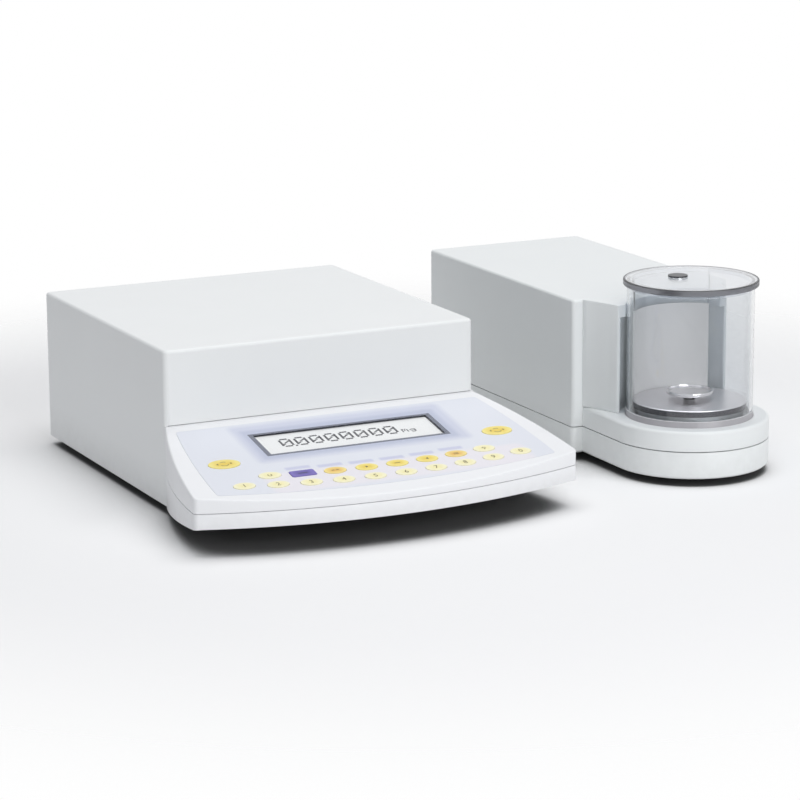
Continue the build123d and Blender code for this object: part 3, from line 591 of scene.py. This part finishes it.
COVER_PAINT = painted("cover_paint", linear(238, 240, 240))
# The greying low down is turned up here as painted shade on the lower housing, which darkens
# the keyboard's front wall.
HOUSING_PAINT = painted("housing_paint", linear(240, 241, 243), dust_and_shade=0.6)
CELL_PAINT = painted("cell_paint", linear(236, 239, 239))
PANEL_PAINT = painted("panel_paint", linear(206, 204, 200), roughness=0.38)
BACK_PANEL_PAINT = painted("back_panel_paint", linear(232, 230, 227), roughness=0.4, dust_and_shade=0.0)
DARK_PLASTIC = plastic("dark_plastic", linear(58, 60, 64), roughness=0.35)
INK = plastic("ink", linear(52, 52, 58), roughness=0.5)
KEY_INK = plastic("key_ink", linear(96, 86, 58), roughness=0.5)
RUBBER = plastic("rubber", linear(38, 38, 40), roughness=0.75, grain=0.3, scale=500.0)
GEAR_PLASTIC = plastic("gear_plastic", linear(214, 210, 196), roughness=0.45)
CARRIER_PLASTIC = carrier_plastic()
STEEL = metal("plated_steel", linear(176, 178, 182), roughness=0.32)
CAST = metal("cast_aluminium", linear(190, 192, 194), roughness=0.5, lines=0.05)
MACHINED = metal("machined_aluminium", linear(206, 208, 211), roughness=0.3)
CONNECTOR = metal("connector_shell", linear(182, 182, 178), roughness=0.3)
GLASS = clear_glass("shield_glass", linear(236, 238, 240), linear(236, 238, 240))
LID_GLASS = lid_glass()
WINDOW = window_plastic()
DISPLAY = display_surface()
FILM = overlay_film()
PAN_STEEL = turned_steel("pan_steel", 0.1, 0.0)
FLOOR_STEEL = turned_steel("floor_steel", 0.3, FLOOR_PLINTH_TOP)
BOARD = circuit_board()
WINDING = winding()

NODE_MATERIALS = {
    "unit_top_cover": COVER_PAINT,
    "unit_base_pan": HOUSING_PAINT,
    "keyboard_housing": HOUSING_PAINT,
    "keyboard_overlay": FILM,
    "display_window": WINDOW,
    "display_module": DISPLAY,
    "key_board": BOARD,
    "main_board": BOARD,
    "unit_rear_panel": PANEL_PAINT,
    "power_inlet": DARK_PLASTIC,
    "data_port": CONNECTOR,
    "cell_link_port": CONNECTOR,
    "rubber_feet": RUBBER,
    "rear_screws": STEEL,
    "cell_base": CELL_PAINT,
    "cell_cover": CELL_PAINT,
    "shield_housing": CELL_PAINT,
    "chamber_tier": CELL_PAINT,
    "chamber_hub": CAST,
    "chamber_floor": FLOOR_STEEL,
    "chamber_back_panel": BACK_PANEL_PAINT,
    "chamber_rear_pane": GLASS,
    "shield_glass": GLASS,
    "shield_carrier": CARRIER_PLASTIC,
    "drive_pinion": GEAR_PLASTIC,
    "drive_motor": STEEL,
    "shield_lid": LID_GLASS,
    "lid_plug": DARK_PLASTIC,
    "weighing_pan": PAN_STEEL,
    "load_receptor": MACHINED,
    "lower_guide": MACHINED,
    "upper_guide": MACHINED,
    "balance_frame": CAST,
    "transmission_lever": MACHINED,
    "force_coil": WINDING,
    "magnet_pot": STEEL,
    "cell_rear_panel": PANEL_PAINT,
    "cell_port": CONNECTOR,
    "levelling_foot_left": DARK_PLASTIC,
    "levelling_foot_right": DARK_PLASTIC,
}


def function_place(index):
    x = (index - 3.5) * KEY_PITCH
    return x, -FUNCTION_ROW + ROW_BOW * x * x


def digit_place(index):
    x = (index - 4.5) * KEY_PITCH
    return x, -DIGIT_ROW + ROW_BOW * x * x


YELLOW = (linear(247, 232, 138), linear(232, 200, 62))
PALE = (linear(249, 245, 208), linear(243, 234, 172))
ORANGE = (linear(247, 226, 140), linear(226, 172, 70))
VIOLET = (linear(112, 98, 182), linear(74, 62, 142))
keys = {}
keys["shield_key_left"] = ((-109.5, -71.7), (12.0, 7.0), YELLOW)
keys["shield_key_right"] = ((109.5, -71.7), (12.0, 7.0), YELLOW)
keys["mode_key"] = (function_place(1), (9.5, 4.5), VIOLET)
for number in (1, 3, 4, 5, 6, 7, 8):
    tone = {1: PALE, 8: PALE, 7: ORANGE, 3: ORANGE}.get(number, YELLOW)
    keys["function_key_%d" % number] = (function_place(number - 1), (8.5, 5.0), tone)
for index in range(10):
    keys["digit_key_%d" % ((index + 1) % 10)] = (digit_place(index), (8.2, 5.0), PALE)
for name, (centre, half, tone) in keys.items():
    NODE_MATERIALS[name] = key_plastic(name + "_print", tone[0], tone[1], centre, half)

# Rounded edges in millimetres. The glass, the chamber's back panel and the rear panels have
# none: a bevel there bends the shading of their long thin faces.
KEY_EDGE = 0.35
EDGE_WIDTHS = {
    "unit_top_cover": 0.5,
    "keyboard_housing": 0.35,
    "unit_base_pan": 0.5,
    "cell_base": 0.5,
    "cell_cover": 0.5,
    "shield_housing": 0.5,
    "chamber_tier": 0.4,
    "shield_carrier": 0.3,
    "lid_plug": 0.3,
    "weighing_pan": 0.3,
    "rear_screws": 0.2,
    "cell_link_port": 0.3,
    "data_port": 0.3,
    "cell_port": 0.3,
    "power_inlet": 0.3,
}


def soften(target, width):
    """Small rounded edges, which catch the light as real ones do."""
    weld = target.modifiers.new("weld", "WELD")
    weld.merge_threshold = 0.00001
    edge = target.modifiers.new("edge", "BEVEL")
    edge.width = width * MM
    edge.segments = 2
    edge.limit_method = "ANGLE"
    edge.angle_limit = math.radians(40)
    edge.use_clamp_overlap = True
    edge.harden_normals = True


for name, target in nodes.items():
    target.data.materials.clear()
    target.data.materials.append(NODE_MATERIALS[name])
    if name in EDGE_WIDTHS:
        soften(target, EDGE_WIDTHS[name])
    elif name in keys:
        soften(target, KEY_EDGE)


# Printed marks


def panel_matrix(across, up, height):
    """Turns and moves a flat drawing in millimetres onto the keyboard slope."""
    turn = Matrix((PANEL_X, PANEL_Y, PANEL_Z)).transposed().to_4x4()
    spot = PANEL_START + (PANEL_X * across + PANEL_Y * up + PANEL_Z * height) * MM
    return Matrix.Translation(spot) @ turn @ Matrix.Scale(MM, 4)


def link(name, mesh, material, body):
    """A finished piece whose place is in its mesh, riding on a body."""
    mesh.materials.clear()
    mesh.materials.append(material)
    made = bpy.data.objects.new(name, mesh)
    bpy.context.scene.collection.objects.link(made)
    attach(made, body)
    return made


def text_mesh(words, height):
    """Plain lettering in millimetres, centred, as thin as print."""
    curve = bpy.data.curves.new("lettering", "FONT")
    curve.body = words
    curve.size = height / 0.72
    curve.extrude = PRINT_THICKNESS / 2
    curve.align_x = "CENTER"
    curve.align_y = "CENTER"
    curve.resolution_u = 6
    carrier = bpy.data.objects.new("lettering", curve)
    bpy.context.scene.collection.objects.link(carrier)
    seen = carrier.evaluated_get(bpy.context.evaluated_depsgraph_get())
    mesh = bpy.data.meshes.new_from_object(seen)
    bpy.data.objects.remove(carrier)
    merge(mesh)
    return mesh


def merge(mesh):
    """Closes the mesh at its doubled points."""
    work = bmesh.new()
    work.from_mesh(mesh)
    bmesh.ops.remove_doubles(work, verts=work.verts, dist=0.0005)
    bmesh.ops.recalc_face_normals(work, faces=work.faces)
    work.to_mesh(mesh)
    work.free()


def plate_mesh(name, outlines, thickness=PRINT_THICKNESS):
    """Thin plates from flat outlines in millimetres, closed all round."""
    work = bmesh.new()
    for outline in outlines:
        low = [work.verts.new((x, y, -thickness / 2)) for x, y in outline]
        high = [work.verts.new((x, y, thickness / 2)) for x, y in outline]
        work.faces.new(list(reversed(low)))
        work.faces.new(high)
        count = len(outline)
        for i in range(count):
            j = (i + 1) % count
            work.faces.new((low[i], low[j], high[j], high[i]))
    bmesh.ops.recalc_face_normals(work, faces=work.faces)
    mesh = bpy.data.meshes.new(name)
    work.to_mesh(mesh)
    work.free()
    return mesh


def arc_band(radius, width, start, end, steps=14):
    """Outline of a curved bar, its angles in degrees."""
    outer, inner = [], []
    for i in range(steps + 1):
        a = math.radians(start + (end - start) * i / steps)
        outer.append(((radius + width / 2) * math.cos(a), (radius + width / 2) * math.sin(a)))
        inner.append(((radius - width / 2) * math.cos(a), (radius - width / 2) * math.sin(a)))
    return outer + inner[::-1]


def box_outline(x, y, width, height):
    w, h = width / 2, height / 2
    return [(x - w, y - h), (x + w, y - h), (x + w, y + h), (x - w, y + h)]


def arrow(x, direction, size=1.6):
    tip = x + direction * size
    corners = [(x, -size * 0.75), (tip, 0.0), (x, size * 0.75)]
    return corners if direction > 0 else corners[::-1]


def shield_symbol():
    """A round shield from above with arrows both ways round."""
    return [
        arc_band(3.1, 0.5, 205, 335),
        arc_band(3.1, 0.5, 50, 130),
        arrow(4.6, 1),
        arrow(-4.6, -1),
    ]


SYMBOLS = {
    "mode_key": [box_outline(0, 0, 7.0, 0.7)],
    "function_key_1": [arc_band(1.5, 0.5, 120, 420)],
    "function_key_3": [box_outline(-1.6, 0, 2.2, 0.7), box_outline(1.6, 0, 2.2, 0.7)],
    "function_key_4": [arrow(-0.8, 1, 2.0)],
    "function_key_5": [box_outline(0, 0, 4.4, 0.7)],
    "function_key_6": [arrow(0.8, -1, 2.0)],
    "function_key_7": [box_outline(0, 0.8, 3.6, 0.6), box_outline(0, -0.8, 3.6, 0.6)],
    "function_key_8": [arc_band(1.4, 0.6, 0, 180), box_outline(0, -1.0, 0.7, 2.0)],
}

KEY_PRINT_HEIGHT = KEY_TOP + PRINT_THICKNESS / 2
for index in range(10):
    digit = str((index + 1) % 10)
    across, up = digit_place(index)
    mesh = text_mesh(digit, 4.6)
    mesh.transform(panel_matrix(across, up, KEY_PRINT_HEIGHT))
    link("digit_print_" + digit, mesh, KEY_INK, "digit_key_" + digit)
for name, outlines in SYMBOLS.items():
    across, up = keys[name][0]
    mesh = plate_mesh(name + "_symbol", outlines)
    mesh.transform(panel_matrix(across, up, KEY_PRINT_HEIGHT))
    link(name + "_symbol", mesh, INK if name == "mode_key" else KEY_INK, name)
for side in ("left", "right"):
    name = "shield_key_" + side
    across, up = keys[name][0]
    mesh = plate_mesh(name + "_symbol", shield_symbol())
    mesh.transform(panel_matrix(across, up, KEY_PRINT_HEIGHT))
    link(name + "_symbol", mesh, KEY_INK, name)

# The display's figures, built from small square dots

ZERO = ["01110", "10001", "10011", "10101", "11001", "10001", "01110"]
LETTER_M = ["00000", "00000", "11010", "10101", "10101", "10001", "10001"]
LETTER_G = ["00000", "00000", "01111", "10001", "01111", "00001", "01110"]
DOT_PITCH_X = 1.95
DOT_PITCH_Y = 1.95
SMALL_PITCH = 1.0
FIGURE_PITCH = 12.0
FIRST_FIGURE = -50.0
FIGURE_COUNT = 8
FIGURE_MIDDLE = -46.5


def figure_points():
    """Centres and sizes of the display's dots, in panel millimetres."""
    dots = []

    def figure(rows, x, y, pitch):
        for r, row in enumerate(rows):
            for c, on in enumerate(row):
                if on == "1":
                    dots.append((x + (c - 2) * pitch, y + (3 - r) * pitch, pitch))

    for i in range(FIGURE_COUNT):
        figure(ZERO, FIRST_FIGURE + i * FIGURE_PITCH, FIGURE_MIDDLE, DOT_PITCH_X)
    point_x = FIRST_FIGURE + FIGURE_PITCH / 2 - 0.2
    dots.append((point_x, FIGURE_MIDDLE - 3 * DOT_PITCH_Y - 0.4, DOT_PITCH_X))
    unit_x = FIRST_FIGURE + FIGURE_COUNT * FIGURE_PITCH
    figure(LETTER_M, unit_x - 1.8, FIGURE_MIDDLE - 2.6, SMALL_PITCH)
    figure(LETTER_G, unit_x + 4.4, FIGURE_MIDDLE - 3.6, SMALL_PITCH)
    return dots


def dot_tree():
    """Geometry Nodes: a thin square plate on each point, as large as the point's pitch."""
    tree = bpy.data.node_groups.new("display_dots", "GeometryNodeTree")
    face = tree.interface
    face.new_socket("Geometry", in_out="INPUT", socket_type="NodeSocketGeometry")
    fill = face.new_socket("Fill", in_out="INPUT", socket_type="NodeSocketFloat")
    fill.default_value = 0.9
    thick = face.new_socket("Thickness", in_out="INPUT", socket_type="NodeSocketFloat")
    thick.default_value = PRINT_THICKNESS
    ink = face.new_socket("Ink", in_out="INPUT", socket_type="NodeSocketMaterial")
    ink.default_value = INK
    face.new_socket("Geometry", in_out="OUTPUT", socket_type="NodeSocketGeometry")
    given = tree.nodes.new("NodeGroupInput")
    out = tree.nodes.new("NodeGroupOutput")
    plate = tree.nodes.new("GeometryNodeMeshCube")
    size = tree.nodes.new("ShaderNodeCombineXYZ")
    tree.links.new(given.outputs["Fill"], size.inputs["X"])
    tree.links.new(given.outputs["Fill"], size.inputs["Y"])
    tree.links.new(given.outputs["Thickness"], size.inputs["Z"])
    tree.links.new(size.outputs["Vector"], plate.inputs["Size"])
    pitch = tree.nodes.new("GeometryNodeInputNamedAttribute")
    pitch.data_type = "FLOAT"
    pitch.inputs["Name"].default_value = "pitch"
    scale = tree.nodes.new("ShaderNodeCombineXYZ")
    tree.links.new(pitch.outputs["Attribute"], scale.inputs["X"])
    tree.links.new(pitch.outputs["Attribute"], scale.inputs["Y"])
    scale.inputs["Z"].default_value = 1.0
    spread = tree.nodes.new("GeometryNodeInstanceOnPoints")
    tree.links.new(given.outputs["Geometry"], spread.inputs["Points"])
    tree.links.new(plate.outputs["Mesh"], spread.inputs["Instance"])
    tree.links.new(scale.outputs["Vector"], spread.inputs["Scale"])
    real = tree.nodes.new("GeometryNodeRealizeInstances")
    paint = tree.nodes.new("GeometryNodeSetMaterial")
    tree.links.new(spread.outputs["Instances"], real.inputs["Geometry"])
    tree.links.new(real.outputs["Geometry"], paint.inputs["Geometry"])
    tree.links.new(given.outputs["Ink"], paint.inputs["Material"])
    tree.links.new(paint.outputs["Geometry"], out.inputs["Geometry"])
    return tree


def display_figures():
    dots = figure_points()
    mesh = bpy.data.meshes.new("display_points")
    mesh.from_pydata([(x, y, 0.0) for x, y, pitch in dots], [], [])
    pitches = mesh.attributes.new("pitch", "FLOAT", "POINT")
    pitches.data.foreach_set("value", [pitch for x, y, pitch in dots])
    carrier = bpy.data.objects.new("display_points", mesh)
    bpy.context.scene.collection.objects.link(carrier)
    made = carrier.modifiers.new("dots", "NODES")
    made.node_group = dot_tree()
    seen = carrier.evaluated_get(bpy.context.evaluated_depsgraph_get())
    result = bpy.data.meshes.new_from_object(seen)
    carrier.modifiers.remove(made)
    bpy.data.objects.remove(carrier)
    result.transform(panel_matrix(0.0, 0.0, DISPLAY_TOP + PRINT_THICKNESS / 2 + 0.01))
    return link("display_figures", result, INK, "units")


display_figures()

# Studio

FLOOR_SIZE = 4.0
FLOOR_COLOUR = (0.97, 0.97, 0.97, 1.0)
NOOK_COLOUR = (0.10, 0.10, 0.10, 1.0)
NOOK_REACH = 0.12
NOOK_RANGE = (0.28, 0.56)
FADE_RANGE = (0.38, 0.8)
WORLD_FILL = 0.34
TOP_BOX_POWER = 39.0
FRONT_BOX_POWER = 30.0


def studio_floor():
    """A pale floor, deeper in shade close under the object, that fades into white."""
    mesh = bpy.data.meshes.new("studio_floor")
    half = FLOOR_SIZE / 2
    mesh.from_pydata(
        [(-half, -half, 0), (half, -half, 0), (half, half, 0), (-half, half, 0)],
        [],
        [(0, 1, 2, 3)],
    )
    floor = bpy.data.objects.new("studio_floor", mesh)
    bpy.context.scene.collection.objects.link(floor)
    made = new_material("studio_floor")
    tree = made.node_tree
    bsdf, out = shader(tree, Roughness=0.9, Specular_IOR_Level=0.1)
    nook = node(tree, "ShaderNodeAmbientOcclusion", in_Distance=NOOK_REACH)
    nook.samples = 12
    open_sky = node(tree, "ShaderNodeMapRange", interpolation_type="SMOOTHSTEP")
    open_sky.inputs["From Min"].default_value = NOOK_RANGE[0]
    open_sky.inputs["From Max"].default_value = NOOK_RANGE[1]
    tree.links.new(nook.outputs["AO"], open_sky.inputs["Value"])
    colour = mix_colour(tree, open_sky.outputs["Result"], NOOK_COLOUR, FLOOR_COLOUR)
    tree.links.new(colour, bsdf.inputs["Base Color"])
    away = node(tree, "ShaderNodeVectorMath", operation="LENGTH")
    tree.links.new(object_point(tree), away.inputs[0])
    fade = node(tree, "ShaderNodeMapRange", interpolation_type="SMOOTHSTEP")
    fade.inputs["From Min"].default_value = FADE_RANGE[0]
    fade.inputs["From Max"].default_value = FADE_RANGE[1]
    tree.links.new(away.outputs["Value"], fade.inputs["Value"])
    clear = tree.nodes.new("ShaderNodeBsdfTransparent")
    blend = tree.nodes.new("ShaderNodeMixShader")
    tree.links.new(fade.outputs["Result"], blend.inputs[0])
    tree.links.new(bsdf.outputs[0], blend.inputs[1])
    tree.links.new(clear.outputs[0], blend.inputs[2])
    tree.links.new(blend.outputs[0], out.inputs["Surface"])
    mesh.materials.append(made)


def studio_world():
    """White where camera or glass looks past the object, and a soft even fill elsewhere."""
    world = bpy.data.worlds.new("studio")
    bpy.context.scene.world = world
    world.use_nodes = True
    tree = world.node_tree
    tree.nodes.clear()
    path = tree.nodes.new("ShaderNodeLightPath")
    seen = path.outputs["Is Camera Ray"]
    for ray in ("Is Transmission Ray", "Is Glossy Ray"):
        seen = math_node(tree, "MAXIMUM", seen, path.outputs[ray])
    white = node(tree, "ShaderNodeBackground", in_Strength=1.0)
    white.inputs["Color"].default_value = (1, 1, 1, 1)
    fill = node(tree, "ShaderNodeBackground", in_Strength=WORLD_FILL)
    fill.inputs["Color"].default_value = (0.93, 0.95, 1.0, 1)
    mix = tree.nodes.new("ShaderNodeMixShader")
    out = tree.nodes.new("ShaderNodeOutputWorld")
    tree.links.new(seen, mix.inputs[0])
    tree.links.new(fill.outputs[0], mix.inputs[1])
    tree.links.new(white.outputs[0], mix.inputs[2])
    tree.links.new(mix.outputs[0], out.inputs["Surface"])


def softbox(name, place, target, size, power):
    lamp = bpy.data.lights.new(name, "AREA")
    lamp.shape = "RECTANGLE"
    lamp.size, lamp.size_y = size
    lamp.energy = power
    holder = bpy.data.objects.new(name, lamp)
    bpy.context.scene.collection.objects.link(holder)
    holder.location = place
    aim = Vector(target) - Vector(place)
    holder.rotation_euler = aim.to_track_quat("-Z", "Y").to_euler()


CAMERA_PLACE = Vector((-1049.75, -2118.9, 606.5)) * MM
CAMERA_YAW = math.radians(26.093)
CAMERA_PITCH = math.radians(13.215)
CAMERA_ROLL = math.radians(0.338)
FOCAL_PIXELS = 3140.0
FRAME_PIXELS = 800.0
SENSOR = 36.0


def studio_camera():
    camera = bpy.data.cameras.new("camera")
    camera.sensor_width = SENSOR
    camera.lens = SENSOR * FOCAL_PIXELS / FRAME_PIXELS
    camera.clip_start = 0.05
    camera.clip_end = 50.0
    holder = bpy.data.objects.new("camera", camera)
    bpy.context.scene.collection.objects.link(holder)
    flat = math.cos(CAMERA_PITCH)
    ahead = Vector(
        (math.sin(CAMERA_YAW) * flat, math.cos(CAMERA_YAW) * flat, -math.sin(CAMERA_PITCH))
    )
    level = Vector((math.cos(CAMERA_YAW), -math.sin(CAMERA_YAW), 0.0))
    down = ahead.cross(level)
    right = level * math.cos(CAMERA_ROLL) + down * math.sin(CAMERA_ROLL)
    up = level * math.sin(CAMERA_ROLL) - down * math.cos(CAMERA_ROLL)
    turn = Matrix((right, up, -ahead)).transposed().to_4x4()
    holder.matrix_world = Matrix.Translation(CAMERA_PLACE) @ turn
    bpy.context.scene.camera = holder


studio_floor()
studio_world()
softbox("top_box", (0.1, -0.1, 2.6), (0, 0, 0), (2.2, 2.2), TOP_BOX_POWER)
softbox("front_box", (0.25, -2.8, 0.9), (0, 0, 0.05), (1.8, 1.2), FRONT_BOX_POWER)
studio_camera()
bpy.context.scene.view_settings.view_transform = "Standard"
